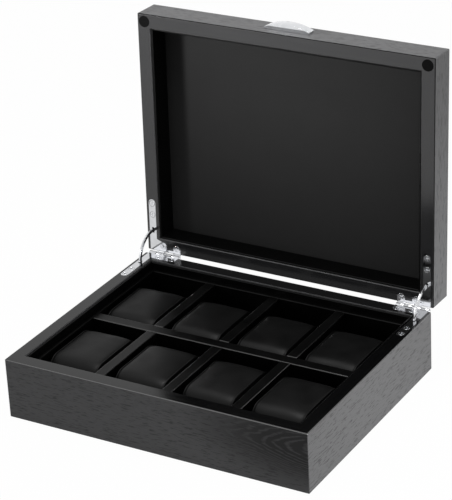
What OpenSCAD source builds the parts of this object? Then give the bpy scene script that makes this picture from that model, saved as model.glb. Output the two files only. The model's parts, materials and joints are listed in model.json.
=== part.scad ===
// Watch display box: mitred wooden case with a hinged lid, a divided tray and eight lift-out cushions.
// Origin at the centre of the underside, +X to the right, +Y to the back, +Z up, lid standing open.

/* [Case] */
// Outer width, left to right
box_w = 300; // [270:1:360]
// Outer depth, front to back
box_d = 236; // [206:1:290]
// Height of the base's walls
base_h = 57.7; // [50:0.1:80]
// Height of the lid's rails
lid_h = 28.5; // [27:0.5:45]
// Thickness of the walls and rails
wall_t = 13; // [12.5:0.5:16]
// Width of the rebates that hold the bottom panel and the lid's panel
rebate_w = 4; // [3:0.5:6]
// Thickness of the bottom panel
bottom_t = 4; // [3:0.5:6]
// Thickness of the lid's panel
lid_panel_t = 4; // [3:0.5:4.5]
// Thickness of the veneer over the lid
veneer_t = 0.6; // [0.4:0.1:1]
// Thickness of the felt under the base
felt_t = 0.8; // [0.5:0.1:2]
// Distance from the felt's edge to the walls' outer faces
felt_inset = 2; // [1:0.5:5]

/* [Lining] */
// Thickness of the covered strips inside the walls and rails
lining_t = 2; // [1.5:0.1:2.6]
// Distance from the base's rim down to its strips
base_lining_drop = 1.2; // [0.4:0.1:4]
// Distance from the lid's rim to its strips
lid_lining_drop = 0.9; // [0.4:0.1:4]
// Thickness of the lining on the floor
floor_lining_t = 1.5; // [1:0.1:3]
// Thickness of the fabric pad inside the lid
lid_pad_t = 1.3; // [1:0.1:3]

/* [Tray] */
// Distance from the base's rim down to the tray
tray_drop = 8.5; // [6:0.5:14]
// Thickness of the boards round the tray
tray_board_t = 3.5; // [2.5:0.5:5]
// Thickness of the three cross dividers
cross_divider_t = 10; // [6:0.5:12]
// Thickness of the long divider
long_divider_t = 11; // [6:0.5:14]
// Play in the half-lap joints of the dividers
lap_play = 0.1; // [0.05:0.05:0.3]

/* [Cushions] */
// Gap between a cushion's end panels and its compartment
cushion_side_gap = 4.1; // [2:0.1:7]
// How much shorter each cushion is than its compartment
cushion_room = 22; // [12:1:32]
// Gap between the front cushions and the long divider
front_cushion_gap = 9.5; // [2:0.5:10]
// Gap between the rear cushions, which lie forward, and the long divider
rear_cushion_gap = 0.5; // [0.4:0.1:10]
// How far the cushions' crown stands over the tray's top
cushion_proud = 1.1; // [-5:0.1:2]
// Gap between a resting cushion and the floor lining
cushion_seat_gap = 0.3; // [0.2:0.05:0.5]
// Radius of the upper long edges
cushion_top_r = 12; // [8:0.5:18]
// Radius of the lower long edges
cushion_bottom_r = 8; // [4:0.5:12]
// Rise of the crown over the two end seams
cushion_crown = 1.8; // [0.5:0.1:4]
// How far the arched top falls from its crown to its front and back edges
cushion_arch = 1.5; // [0.5:0.1:4]
// How far each long side is drawn in at the end seams
cushion_draw = 1.6; // [0.5:0.1:3]
// How far each end panel swells out of its seam
cushion_end_swell = 1.5; // [0.5:0.1:3]

/* [Hinges] */
// Angle of the open lid
open_angle = 92; // [86:1:100]
// Gap between the rims of the shut box
rim_gap = 0.6; // [0.4:0.1:1.2]
// Distance from the back wall to the hinge axis
pin_back = 2.6; // [2.6:0.1:4]
// Distance from the base's rim down to the hinge axis
pin_drop = 1.1; // [0.6:0.1:1.2]
// Radius of the knuckles
knuckle_r = 2.3; // [2:0.05:2.3]
// Radius of the hinge pins
pin_r = 1; // [0.8:0.05:1.2]
// Radial play between a pin and its knuckles
pin_play = 0.05; // [0.02:0.01:0.1]
// Width of each of the four knuckles
knuckle_w = 8.3; // [7:0.1:9.5]
// Gap between neighbouring knuckles
knuckle_gap = 0.5; // [0.2:0.05:0.6]
// Thickness of the hinge leaves
leaf_t = 1.2; // [1:0.1:1.6]
// Width of the side leg of each leaf
leg_w = 7.5; // [7:0.1:8]
// Length of the side leg, from the back wall
leg_l = 52.5; // [48:0.5:60]
// Distance from the leg's front end to its first screw
leg_screw_end = 4.5; // [4:0.1:6]
// Distance between the two screws in the leg
leg_screw_pitch = 11.3; // [8:0.1:12]
// Width of the back leg of each base leaf
back_leg_w = 9; // [8.5:0.1:10]
// Radius of the two round lugs of each lid leaf
lug_r = 3.9; // [3.6:0.1:4.2]
// Distance from the box's side to the first lug's screw
first_lug_x = 17; // [16.5:0.1:19]
// Distance from the back wall to the screws in the back legs
lug_inset = 5.7; // [5:0.1:6.2]
// Play of the leaves in their recesses
leaf_play = 0.2; // [0.05:0.05:0.3]

/* [Stay arms] */
// Radius of each arm's curve about the hinge axis
arm_r = 23.5; // [21:0.5:25]
// Width of the arm's strap
arm_w = 3.2; // [2.5:0.1:4]
// Thickness of the arm's strap
arm_t = 1.5; // [1:0.1:1.8]
// Play of the strap across its slots
slot_side_play = 0.4; // [0.3:0.05:0.6]
// Play of the strap along its slots
slot_end_play = 1; // [0.4:0.1:1.3]
// Radius of the stop pins on the arm's ends
stop_r = 1.1; // [0.9:0.05:1.4]
// Length of the stop pins
stop_l = 4.2; // [3.6:0.1:4.6]
// Gap between a stop pin and the leaf it stops on
stop_gap = 0.3; // [0.2:0.05:0.5]
// Play of the arm in its mortises
mortise_play = 0.6; // [0.5:0.1:0.9]

/* [Screws] */
// Radius of the screw heads
head_r = 2.8; // [2.4:0.1:3]
// Height of the countersunk heads
head_h = 1.7; // [1.2:0.1:2]
// Radius of the screw shanks
shank_r = 1.1; // [0.8:0.1:1.3]
// Length of the screws
screw_l = 11; // [8:0.5:14]
// Play of the screws in their holes
screw_play = 0.05; // [0.02:0.01:0.1]
// Width of the cross slots in the heads
cross_w = 0.7; // [0.5:0.1:0.9]
// Depth of the cross slots
cross_h = 0.8; // [0.5:0.1:1]

/* [Lift tab] */
// Width of the tab
tab_w = 45; // [30:1:70]
// Height of the tab along the lid's front
tab_h = 10; // [6:0.5:14]
// How far the tab stands out in its middle
tab_bow = 6.6; // [5:0.1:10]
// How far it stands out at its two ends
tab_end = 1.8; // [1.4:0.1:3]
// Thickness of the foot between the tab and the lid
foot_t = 0.5; // [0.3:0.1:1]
// How far the foot lies back from the tab's outline
foot_inset = 0.8; // [0.3:0.1:1.5]
// How far the foot reaches into the tab
foot_root = 0.3; // [0.2:0.05:0.35]
// Radius of the two studs that hold the tab
stud_r = 1.25; // [1:0.05:1.8]
// Length of the studs in the wood
stud_l = 7; // [4:0.5:10]
// Distance from the tab's middle to each stud
stud_out = 14; // [8:0.5:14]
// Play of the studs in their holes
stud_play = 0.05; // [0.02:0.01:0.1]

/* [Bumpers] */
// Radius of the bumper discs
bumper_r = 5.4; // [3:0.1:5.8]
// Distance from the lid's outer faces to a bumper's centre
bumper_inset = 7.2; // [6.8:0.1:8]
// Depth of the recess that a bumper sits in
bumper_sunk = 0.9; // [0.5:0.1:2]
// Gap between a bumper and the shut base's rim
bumper_clear = 0.1; // [0.05:0.05:0.2]

/* [Hidden] */
$fn = 64;
// Overlap that carries a cut past the face it opens
over = 1;
columns = 4;
// Heights of the base
rim_z = felt_t + base_h;
panel_top = felt_t + bottom_t;
floor_z = panel_top + floor_lining_t;
tray_top = rim_z - tray_drop;
base_lining_top = rim_z - base_lining_drop;
lap_z = (floor_z + tray_top) / 2;
// Heights of the shut lid
lid_z = rim_z + rim_gap;
lid_top = lid_z + lid_h;
lid_panel_z = lid_top - lid_panel_t;
lid_pad_z = lid_panel_z - lid_pad_t;
lid_lining_z = lid_z + lid_lining_drop;
// Insides of the walls, lining and tray
cavity_w = box_w - 2 * wall_t;
cavity_d = box_d - 2 * wall_t;
lined_w = cavity_w - 2 * lining_t;
lined_d = cavity_d - 2 * lining_t;
tray_w = lined_w - 2 * tray_board_t;
tray_d = lined_d - 2 * tray_board_t;
cell_w = (tray_w - (columns - 1) * cross_divider_t) / columns;
cell_d = (tray_d - long_divider_t) / 2;
cell_pitch = cell_w + cross_divider_t;
// Cushions
cushion_w = cell_w - 2 * cushion_side_gap;
cushion_l = cell_d - cushion_room;
cushion_z = floor_z + cushion_seat_gap;
cushion_h = tray_top + cushion_proud - cushion_z;
corner_steps = 8;
cushion_slices = 12;
// Share of an end panel's outline that its inner ring keeps, and of its swell that the ring has
end_ring_scale = 0.6;
end_ring_swell = 0.75;
// Hinge axis and leaves
pin_y = box_d / 2 + pin_back;
pin_z = rim_z - pin_drop;
lid_over_pin = rim_gap + pin_drop;
knuckles = 4;
barrel_w = knuckles * knuckle_w;
leg_x = wall_t / 2;
barrel_x = leg_x - leg_w / 2;
back_leg_end = barrel_x + barrel_w;
lug_x = [first_lug_x, back_leg_end - lug_r];
leg_screw_y = [leg_l - leg_screw_end - leg_screw_pitch, leg_l - leg_screw_end];
// Step between a knuckle's crest and the neck that meets it
neck_step = 0.1;
// Depth of the lid leaf's strip behind its lugs
strip_d = lug_inset - lug_r + over;
// Corner where the lid leaf's side leg runs into its first lug
web_y = lug_inset + 2 * lug_r;
// Stay arms: angles that an arm runs on past the hinge axis's level in the base and in the lid
base_over = asin((leaf_t - pin_drop + stop_gap + stop_r) / arm_r);
lid_over = asin((lid_over_pin + leaf_t + stop_gap + stop_r) / arm_r);
arm_sweep = open_angle + base_over + lid_over;
// Step between the strap's edges and its round ends
arm_end_step = 0.1;
slot_w = arm_t + 2 * slot_side_play;
slot_l = arm_w + 2 * slot_end_play;
mortise_w = stop_l + 2 * mortise_play;
mortise_far = arm_r + max(arm_w / 2, stop_r) + mortise_play;
// Lift tab
tab_chord = tab_w / 2;
tab_rise = tab_bow - tab_end;
tab_arc_r = (tab_chord * tab_chord + tab_rise * tab_rise) / (2 * tab_rise);
tab_z = lid_z + (lid_top + veneer_t - lid_z - tab_h) / 2;

black_wood = "#3a3a3b";
lining_black = "#1d1d1e";
board_wood = "#4a4038";
steel = "#d6d8da";

// A box centred across X, from one Y to another and from one Z to another
module slab(w, y0, y1, z0, z1) {
  translate([-w / 2, y0, z0])
    cube([w, y1 - y0, z1 - z0]);
}

// A box round the Z axis, open to the depth given
module centred(w, d, z0, z1) {
  slab(w, -d / 2, d / 2, z0, z1);
}

// Turns the shut lid up about the hinge axis
module opened() {
  translate([0, pin_y, pin_z])
    rotate([-open_angle, 0, 0])
      translate([0, -pin_y, -pin_z])
        children();
}

// Puts a piece of the right-hand side on either side: side is 1 for right, -1 for left
module on_side(side) {
  if (side > 0) {
    children();
  } else {
    mirror([1, 0, 0]) children();
  }
}

// ---- Walls and rails ----

// The wall along the front: its ends are cut at 45 degrees for the mitres
module long_wall(z0, h) {
  out = box_w / 2;
  y = box_d / 2;
  translate([0, 0, z0])
    linear_extrude(h)
      polygon([[-out, -y], [out, -y], [out - wall_t, wall_t - y], [wall_t - out, wall_t - y]]);
}

// The wall along the right, with the same mitres
module side_wall(z0, h) {
  out = box_d / 2;
  x = box_w / 2;
  translate([0, 0, z0])
    linear_extrude(h)
      polygon([[x, -out], [x, out], [x - wall_t, out - wall_t], [x - wall_t, wall_t - out]]);
}

// Space for the bottom panel
module bottom_rebate() {
  centred(cavity_w + 2 * rebate_w, cavity_d + 2 * rebate_w, felt_t - over, panel_top);
}

// Space for the lid's panel
module lid_rebate() {
  centred(cavity_w + 2 * rebate_w, cavity_d + 2 * rebate_w, lid_panel_z, lid_top + over);
}

module base_front_wall() {
  color(black_wood)
    difference() {
      long_wall(felt_t, base_h);
      bottom_rebate();
    }
}

module base_back_wall() {
  color(black_wood)
    difference() {
      mirror([0, 1, 0]) long_wall(felt_t, base_h);
      bottom_rebate();
      for (side = [-1, 1]) on_side(side) base_hinge_cut();
    }
}

module base_side_wall(side) {
  color(black_wood)
    on_side(side)
      difference() {
        side_wall(felt_t, base_h);
        bottom_rebate();
        base_hinge_cut();
      }
}

module lid_front_rail() {
  color(black_wood)
    opened()
      difference() {
        long_wall(lid_z, lid_h);
        lid_rebate();
        for (side = [-1, 1]) on_side(side) bumper_recess();
        for (side = [-1, 1]) on_side(side) stud_hole();
      }
}

module lid_back_rail() {
  color(black_wood)
    opened()
      difference() {
        mirror([0, 1, 0]) long_wall(lid_z, lid_h);
        lid_rebate();
        for (side = [-1, 1]) on_side(side) lid_hinge_cut();
      }
}

module lid_side_rail(side) {
  color(black_wood)
    opened()
      on_side(side)
        difference() {
          side_wall(lid_z, lid_h);
          lid_rebate();
          lid_hinge_cut();
          bumper_recess();
        }
}

// ---- Panels and lining ----

module base_bottom_panel() {
  color(board_wood)
    centred(cavity_w + 2 * rebate_w, cavity_d + 2 * rebate_w, felt_t, panel_top);
}

module base_felt() {
  color(lining_black)
    centred(box_w - 2 * felt_inset, box_d - 2 * felt_inset, 0, felt_t);
}

module floor_lining() {
  color(lining_black)
    centred(cavity_w, cavity_d, panel_top, floor_z);
}

// A strip along the front between two side strips
module lining_long(z0, z1) {
  slab(lined_w, -cavity_d / 2, -lined_d / 2, z0, z1);
}

// A strip along the right, over the full depth
module lining_side(z0, z1) {
  translate([(cavity_w - lining_t) / 2, 0, 0])
    centred(lining_t, cavity_d, z0, z1);
}

module base_lining_front() {
  color(lining_black) lining_long(floor_z, base_lining_top);
}

module base_lining_back() {
  color(lining_black) mirror([0, 1, 0]) lining_long(floor_z, base_lining_top);
}

module base_lining_side(side) {
  color(lining_black) on_side(side) lining_side(floor_z, base_lining_top);
}

module lid_lining_front() {
  color(lining_black) opened() lining_long(lid_lining_z, lid_pad_z);
}

module lid_lining_back() {
  color(lining_black) opened() mirror([0, 1, 0]) lining_long(lid_lining_z, lid_pad_z);
}

module lid_lining_side(side) {
  color(lining_black) opened() on_side(side) lining_side(lid_lining_z, lid_pad_z);
}

module lid_panel() {
  color(board_wood)
    opened() centred(cavity_w + 2 * rebate_w, cavity_d + 2 * rebate_w, lid_panel_z, lid_top);
}

module lid_veneer() {
  color(black_wood) opened() centred(box_w, box_d, lid_top, lid_top + veneer_t);
}

module lid_pad() {
  color(lining_black) opened() centred(cavity_w, cavity_d, lid_pad_z, lid_panel_z);
}

// ---- Tray ----

module tray_board_front() {
  color(lining_black) slab(tray_w, -lined_d / 2, -tray_d / 2, floor_z, tray_top);
}

module tray_board_back() {
  color(lining_black) slab(tray_w, tray_d / 2, lined_d / 2, floor_z, tray_top);
}

module tray_board_side(side) {
  color(lining_black)
    on_side(side)
      translate([(lined_w - tray_board_t) / 2, 0, 0])
        centred(tray_board_t, lined_d, floor_z, tray_top);
}

// The long divider is notched from below and sits over the cross dividers
module long_divider() {
  color(lining_black)
    difference() {
      centred(tray_w, long_divider_t, floor_z, tray_top);
      for (i = [-1, 0, 1])
        translate([i * cell_pitch, 0, 0])
          centred(cross_divider_t + 2 * lap_play, long_divider_t + over, floor_z - over, lap_z);
    }
}

// A cross divider is notched from above: i counts from the middle one
module cross_divider(i) {
  color(lining_black)
    translate([i * cell_pitch, 0, 0])
      difference() {
        centred(cross_divider_t, tray_d, floor_z, tray_top);
        centred(cross_divider_t + over, long_divider_t + 2 * lap_play, lap_z, tray_top + over);
      }
}

// ---- Cushions ----

// How much of the swell is lost at t, from 0 in the middle to 1 at an end seam
function fall(t) = (t * t + 2 * pow(abs(t), 5)) / 3;

// Height of a point once the top is arched: y runs from the middle to half_l at the edge
function arched(y, z, half_l, top) = z - cushion_arch * pow(y / half_l, 2) * z / top;

// One rounded outline across the cushion: flat below, drawn in and lowered towards the seams
function slice(t) = let (
    half_l = cushion_l / 2 - cushion_draw * fall(t),
    top = cushion_h - cushion_crown * fall(t),
    x = t * (cushion_w / 2 - cushion_end_swell),
    centres = [
      [half_l - cushion_top_r, top - cushion_top_r, cushion_top_r],
      [cushion_top_r - half_l, top - cushion_top_r, cushion_top_r],
      [cushion_bottom_r - half_l, cushion_bottom_r, cushion_bottom_r],
      [half_l - cushion_bottom_r, cushion_bottom_r, cushion_bottom_r]
    ]
  ) [
    for (c = [0:3]) for (k = [0:corner_steps])
      let (
        a = 90 * (c + k / corner_steps),
        y = centres[c][0] + centres[c][2] * cos(a),
        z = centres[c][1] + centres[c][2] * sin(a)
      ) [x, y, arched(y, z, half_l, top)]
  ];

// The inner ring of an end panel, drawn towards its middle and swollen outwards
function end_ring(t) = [
  for (p = slice(t))
    [
      p[0] + t * cushion_end_swell * end_ring_swell,
      p[1] * end_ring_scale,
      cushion_h / 2 + (p[2] - cushion_h / 2) * end_ring_scale
    ]
];

// Two triangles for each step between ring a and ring b of n points
function band(a, b, n) = [
  for (i = [0:n - 1]) let (j = (i + 1) % n)
    each [[a * n + i, a * n + j, b * n + j], [a * n + i, b * n + j, b * n + i]]
];

// A closed cushion: slices from seam to seam, an inner ring and a centre on each end panel
module cushion_form() {
  n = 4 * (corner_steps + 1);
  rings = cushion_slices + 3;
  points = [
    each end_ring(-1),
    for (s = [0:cushion_slices]) each slice(2 * s / cushion_slices - 1),
    each end_ring(1),
    [-cushion_w / 2, 0, cushion_h / 2],
    [cushion_w / 2, 0, cushion_h / 2]
  ];
  faces = [
    for (r = [0:rings - 2]) each band(r, r + 1, n),
    for (i = [0:n - 1]) [(i + 1) % n, i, rings * n],
    for (i = [0:n - 1]) [(rings - 1) * n + i, (rings - 1) * n + (i + 1) % n, rings * n + 1]
  ];
  polyhedron(points, faces, convexity = 4);
}

// The cushion of one compartment: column counts from the left, row is -1 in front, 1 behind
module cushion(column, row) {
  gap = row < 0 ? front_cushion_gap : rear_cushion_gap;
  row_y = row * ((long_divider_t + cushion_l) / 2 + gap);
  color(lining_black)
    translate([(column - (columns - 1) / 2) * cell_pitch, row_y, cushion_z])
      cushion_form();
}

// ---- Hinges: everything here is drawn on the right-hand side ----

// Place on the right-hand side, at x in from the side and y in from the back
module from_corner(x, y) {
  translate([box_w / 2 - x, box_d / 2 - y, 0]) children();
}

// Side leg with a round front end, grown on every side by the play given
module leg_outline(grow) {
  from_corner(leg_x, leg_l - leg_w / 2) circle(leg_w / 2 + grow);
  from_corner(leg_x + leg_w / 2 + grow, leg_l - leg_w / 2)
    square([leg_w + 2 * grow, leg_l - leg_w / 2]);
}

// Base leaf: side leg and a plain back leg with a round inner end
module base_leaf_outline(grow) {
  leg_outline(grow);
  from_corner(back_leg_end - back_leg_w / 2, back_leg_w / 2) circle(back_leg_w / 2 + grow);
  from_corner(back_leg_end - back_leg_w / 2, back_leg_w + grow)
    square([back_leg_end - back_leg_w / 2 - leg_x, back_leg_w + grow]);
  from_corner(back_leg_end + grow, back_leg_w / 2)
    square([back_leg_w, back_leg_w / 2]);
}

// Lid leaf: side leg, a web to the first of two round lugs, and a narrow strip at the back
module lid_leaf_outline(grow) {
  leg_outline(grow);
  for (x = lug_x) {
    from_corner(x, lug_inset) circle(lug_r + grow);
    from_corner(x + lug_r + grow, lug_inset) square([2 * (lug_r + grow), lug_inset]);
  }
  from_corner(0, 0)
    polygon([[-leg_x, -web_y - grow], [-leg_x, 0], [-lug_x[0], 0],
      [-lug_x[0], -lug_inset - lug_r - grow]]);
  from_corner(back_leg_end, strip_d + grow) square([back_leg_end - leg_x, strip_d + grow]);
}

// Countersunk hole down through a leaf and into the wood, its mouth at z = 0
module screw_hole() {
  translate([0, 0, -head_h]) cylinder(h = head_h, r1 = shank_r + screw_play, r2 = head_r + screw_play);
  translate([0, 0, -screw_l - screw_play]) cylinder(h = screw_l, r = shank_r + screw_play);
}

// Screw with a countersunk head, flush with z = 0
module screw() {
  difference() {
    union() {
      translate([0, 0, -head_h]) cylinder(h = head_h, r1 = shank_r, r2 = head_r);
      translate([0, 0, -screw_l]) cylinder(h = screw_l - head_h / 2, r = shank_r);
    }
    for (a = [0, 90])
      rotate([0, 0, a])
        translate([-head_r * 0.6, -cross_w / 2, -cross_h]) cube([head_r * 1.2, cross_w, cross_h + over]);
  }
}

// Copies children to the four screw places of a leaf
module at_screws() {
  for (y = leg_screw_y) from_corner(leg_x, y) children();
  for (x = lug_x) from_corner(x, lug_inset) children();
}

// Slot in a leaf for the stay arm
module arm_slot() {
  translate([box_w / 2 - leg_x - slot_w / 2, pin_y - arm_r - slot_l / 2, 0])
    cube([slot_w, slot_l, 2 * leaf_t + 2 * over]);
}

// Mortise in the wood for the arm's end that runs on past the axis, from z = 0 down to the depth
// that the end reaches when the lid is shut: drop is the axis's distance below z = 0
module arm_mortise(past, drop) {
  reach = past + open_angle / 2;
  near = (arm_r - arm_w / 2) * cos(reach) - stop_r - mortise_play;
  depth = (arm_r + arm_w / 2) * sin(reach) + stop_r + mortise_play + drop;
  translate([box_w / 2 - leg_x - mortise_w / 2, pin_y - mortise_far, -depth])
    cube([mortise_w, mortise_far - near, depth]);
}

// The knuckles that one leaf has, each with its neck to the leaf: first is 0 or 1,
// low is the height of the leaf's underside over the hinge axis
module knuckle_set(first, low) {
  for (i = [first, first + 2]) {
    from_corner(barrel_x + (i + 1) * knuckle_w - knuckle_gap / 2, -pin_back)
      translate([0, 0, pin_z]) {
        rotate([0, 90, 0]) cylinder(h = knuckle_w - knuckle_gap, r = knuckle_r);
        rotate([90, 0, 90])
          linear_extrude(knuckle_w - knuckle_gap)
            polygon([[0, 0], [0, knuckle_r - neck_step], [-pin_back, low + leaf_t],
              [-pin_back - over, low + leaf_t], [-pin_back - over, low], [-pin_back, low]]);
      }
  }
}

module pin_bore() {
  from_corner(back_leg_end + over, -pin_back)
    translate([0, 0, pin_z])
      rotate([0, 90, 0]) cylinder(h = barrel_w + 2 * over, r = pin_r + pin_play);
}

// Recess, screw holes and mortise in the base
module base_hinge_cut() {
  translate([0, 0, rim_z - leaf_t]) linear_extrude(leaf_t + over) base_leaf_outline(leaf_play);
  from_corner(0, 0) translate([-back_leg_end - leaf_play, -back_leg_w / 2, rim_z - leaf_t])
    cube([back_leg_end - leg_x, back_leg_w / 2 + over, leaf_t + over]);
  translate([0, 0, rim_z]) at_screws() screw_hole();
  translate([0, 0, rim_z]) arm_mortise(base_over, pin_drop);
}

// The same in the shut lid, upside down
module lid_hinge_cut() {
  translate([0, 0, lid_z - over]) linear_extrude(leaf_t + over) lid_leaf_outline(leaf_play);
  translate([0, 0, lid_z]) mirror([0, 0, 1]) at_screws() screw_hole();
  translate([0, 0, lid_z]) mirror([0, 0, 1]) arm_mortise(lid_over, -lid_over_pin);
}

module base_leaf(side) {
  color(steel)
    on_side(side)
      difference() {
        union() {
          translate([0, 0, rim_z - leaf_t]) linear_extrude(leaf_t) base_leaf_outline(0);
          knuckle_set(0, pin_drop - leaf_t);
        }
        translate([0, 0, rim_z]) at_screws() screw_hole();
        translate([0, 0, rim_z - leaf_t - over]) arm_slot();
        pin_bore();
      }
}

module lid_leaf(side) {
  color(steel)
    opened()
      on_side(side)
        difference() {
          union() {
            translate([0, 0, lid_z]) linear_extrude(leaf_t) lid_leaf_outline(0);
            knuckle_set(1, lid_over_pin);
          }
          translate([0, 0, lid_z]) mirror([0, 0, 1]) at_screws() screw_hole();
          translate([0, 0, lid_z - over]) arm_slot();
          pin_bore();
        }
}

module hinge_pin(side) {
  color(steel)
    on_side(side)
      from_corner(back_leg_end, -pin_back)
        translate([0, 0, pin_z])
          rotate([0, 90, 0]) cylinder(h = barrel_w, r = pin_r);
}

// Curved strap with a stop pin across each end, drawn as it stands with the lid open
module stay_arm(side) {
  color(steel)
    on_side(side)
      translate([box_w / 2 - leg_x, pin_y, pin_z])
        rotate([0, 0, -90])
          rotate([90, 0, 0]) {
            rotate([0, 0, -base_over])
              translate([0, 0, -arm_t / 2])
                arm_strap();
            for (a = [-base_over, open_angle + lid_over])
              rotate([0, 0, a])
                translate([arm_r, 0, -stop_l / 2]) cylinder(h = stop_l, r = stop_r);
          }
}

// The strap itself, a slice of a ring from 0 to its sweep, with round ends
module arm_strap() {
  rotate_extrude(angle = arm_sweep)
    translate([arm_r - arm_w / 2, 0]) square([arm_w, arm_t]);
  for (a = [0, arm_sweep])
    rotate([0, 0, a]) translate([arm_r, 0, 0]) cylinder(h = arm_t, r = arm_w / 2 - arm_end_step);
}

// All screws that hold the base leaves
module base_hinge_screws() {
  color(steel)
    for (side = [-1, 1])
      on_side(side) translate([0, 0, rim_z]) at_screws() screw();
}

// All screws that hold the lid leaves
module lid_hinge_screws() {
  color(steel)
    opened()
      for (side = [-1, 1])
        on_side(side) translate([0, 0, lid_z]) mirror([0, 0, 1]) at_screws() screw();
}

// ---- Lift tab and bumpers ----

// Segment outline of the tab in plan: its flat side on the foot, its bow to the front
module tab_outline() {
  intersection() {
    translate([0, tab_arc_r - tab_bow]) circle(tab_arc_r, $fn = 256);
    translate([-tab_chord, -tab_bow]) square([tab_w, tab_bow - foot_t]);
  }
}

module stud_hole() {
  translate([stud_out, -box_d / 2 + stud_l + stud_play, tab_z + tab_h / 2])
    rotate([90, 0, 0]) cylinder(h = stud_l + over, r = stud_r + stud_play);
}

module lift_tab() {
  color(steel)
    opened()
      translate([0, -box_d / 2, tab_z]) {
        linear_extrude(tab_h) tab_outline();
        slab(tab_w - 2 * foot_inset, -foot_t - foot_root, 0, foot_inset, tab_h - foot_inset);
        for (x = [-stud_out, stud_out])
          translate([x, stud_l, tab_h / 2])
            rotate([90, 0, 0]) cylinder(h = stud_l + foot_t, r = stud_r);
      }
}

module at_bumper() {
  translate([box_w / 2 - bumper_inset, bumper_inset - box_d / 2, lid_z]) children();
}

module bumper_recess() {
  at_bumper() translate([0, 0, -over]) cylinder(h = bumper_sunk + over, r = bumper_r);
}

module lid_bumpers() {
  proud = rim_gap - bumper_clear;
  color(lining_black)
    opened()
      for (side = [-1, 1])
        on_side(side)
          at_bumper() translate([0, 0, -proud]) cylinder(h = bumper_sunk + proud, r = bumper_r);
}

base_front_wall();
base_back_wall();
base_side_wall(-1);  // base_left_wall
base_side_wall(1);  // base_right_wall
base_bottom_panel();
base_felt();
floor_lining();
base_lining_front();
base_lining_back();
base_lining_side(-1);  // base_lining_left
base_lining_side(1);  // base_lining_right
tray_board_front();
tray_board_back();
tray_board_side(-1);  // tray_board_left
tray_board_side(1);  // tray_board_right
long_divider();
cross_divider(-1);  // cross_divider_left
cross_divider(0);  // cross_divider_middle
cross_divider(1);  // cross_divider_right
cushion(0, -1);  // cushion_front_1
cushion(1, -1);  // cushion_front_2
cushion(2, -1);  // cushion_front_3
cushion(3, -1);  // cushion_front_4
cushion(0, 1);  // cushion_rear_1
cushion(1, 1);  // cushion_rear_2
cushion(2, 1);  // cushion_rear_3
cushion(3, 1);  // cushion_rear_4
lid_front_rail();
lid_back_rail();
lid_side_rail(-1);  // lid_left_rail
lid_side_rail(1);  // lid_right_rail
lid_panel();
lid_veneer();
lid_pad();
lid_lining_front();
lid_lining_back();
lid_lining_side(-1);  // lid_lining_left
lid_lining_side(1);  // lid_lining_right
lid_bumpers();
lift_tab();
base_leaf(-1);  // base_leaf_left
base_leaf(1);  // base_leaf_right
lid_leaf(-1);  // lid_leaf_left
lid_leaf(1);  // lid_leaf_right
hinge_pin(-1);  // hinge_pin_left
hinge_pin(1);  // hinge_pin_right
stay_arm(-1);  // stay_arm_left
stay_arm(1);  // stay_arm_right
base_hinge_screws();
lid_hinge_screws();
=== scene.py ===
"""Looks of a watch display box: a black veneered case, a divided tray with eight watch cushions, and
a lid that stands open on two curved stay hinges. Metres, in the CAD model's frame."""

import json
import math
import random

import bmesh
import bpy
from mathutils import Euler, Matrix, Vector, noise


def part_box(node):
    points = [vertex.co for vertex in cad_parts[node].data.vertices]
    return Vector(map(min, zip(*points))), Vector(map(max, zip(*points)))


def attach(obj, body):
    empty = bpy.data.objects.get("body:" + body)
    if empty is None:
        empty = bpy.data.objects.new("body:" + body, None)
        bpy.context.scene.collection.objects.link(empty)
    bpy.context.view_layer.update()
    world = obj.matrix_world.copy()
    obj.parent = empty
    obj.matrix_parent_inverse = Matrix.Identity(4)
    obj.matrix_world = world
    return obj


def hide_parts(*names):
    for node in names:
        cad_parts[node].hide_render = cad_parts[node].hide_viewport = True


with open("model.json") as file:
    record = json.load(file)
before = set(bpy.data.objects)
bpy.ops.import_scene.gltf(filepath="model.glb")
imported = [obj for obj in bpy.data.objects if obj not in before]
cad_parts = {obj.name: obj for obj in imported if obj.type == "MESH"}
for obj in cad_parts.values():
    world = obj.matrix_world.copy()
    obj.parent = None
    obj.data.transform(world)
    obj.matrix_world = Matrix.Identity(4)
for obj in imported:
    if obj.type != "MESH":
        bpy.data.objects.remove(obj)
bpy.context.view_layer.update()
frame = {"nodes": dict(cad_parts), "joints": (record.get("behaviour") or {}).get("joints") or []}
cad = frame["nodes"]
scene = bpy.context.scene

# ---- Base walls ----
# Four walls of fibreboard, mitred at the corners and faced with oak veneer on every side. The veneer
# is stained black and sprayed with satin lacquer, and its edges are eased with fine sandpaper, so
# that the rounding runs through the mitres without a break.
MM = 0.001
OUTER_ROUND = 0.9 * MM
INNER_ROUND = 0.5 * MM
TINY = 0.01 * MM
FLAT_TURN = math.radians(1)
SHARP_TURN = math.radians(35)
# How upright a face's normal stands where the face counts as level with the rim
LEVEL_INSIDE = 0.8
LEVEL_OUTSIDE = 0.9
# The year rings lie round a pith behind the face, which runs away from the face by 1 mm in 8
RING = 1.7 * MM
RING_WAVER = 8 * MM
PITH_DEPTH = 17 * MM
PITH_SLOPE = 1 / 8
FLAME_AND_SHADE_REACH = (0.16, 0.09, 0.055)
# A heart this far off draws no flames and no painted shade on the face
OUT_OF_REACH = 0.4


def linear(colour):
    """An sRGB hex colour as linear RGBA."""
    shares = [int(colour[i : i + 2], 16) / 255 for i in (1, 3, 5)]
    return [s / 12.92 if s <= 0.04045 else ((s + 0.055) / 1.055) ** 2.4 for s in shares] + [1.0]


def add(tree, kind, inputs=None, **settings):
    """Adds a shader node, sets its settings, and links or sets its inputs."""
    made = tree.nodes.new("ShaderNode" + kind)
    for key, value in settings.items():
        setattr(made, key, value)
    for key, value in (inputs or {}).items():
        if isinstance(value, bpy.types.NodeSocket):
            tree.links.new(value, made.inputs[key])
        else:
            made.inputs[key].default_value = value
    return made


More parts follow.
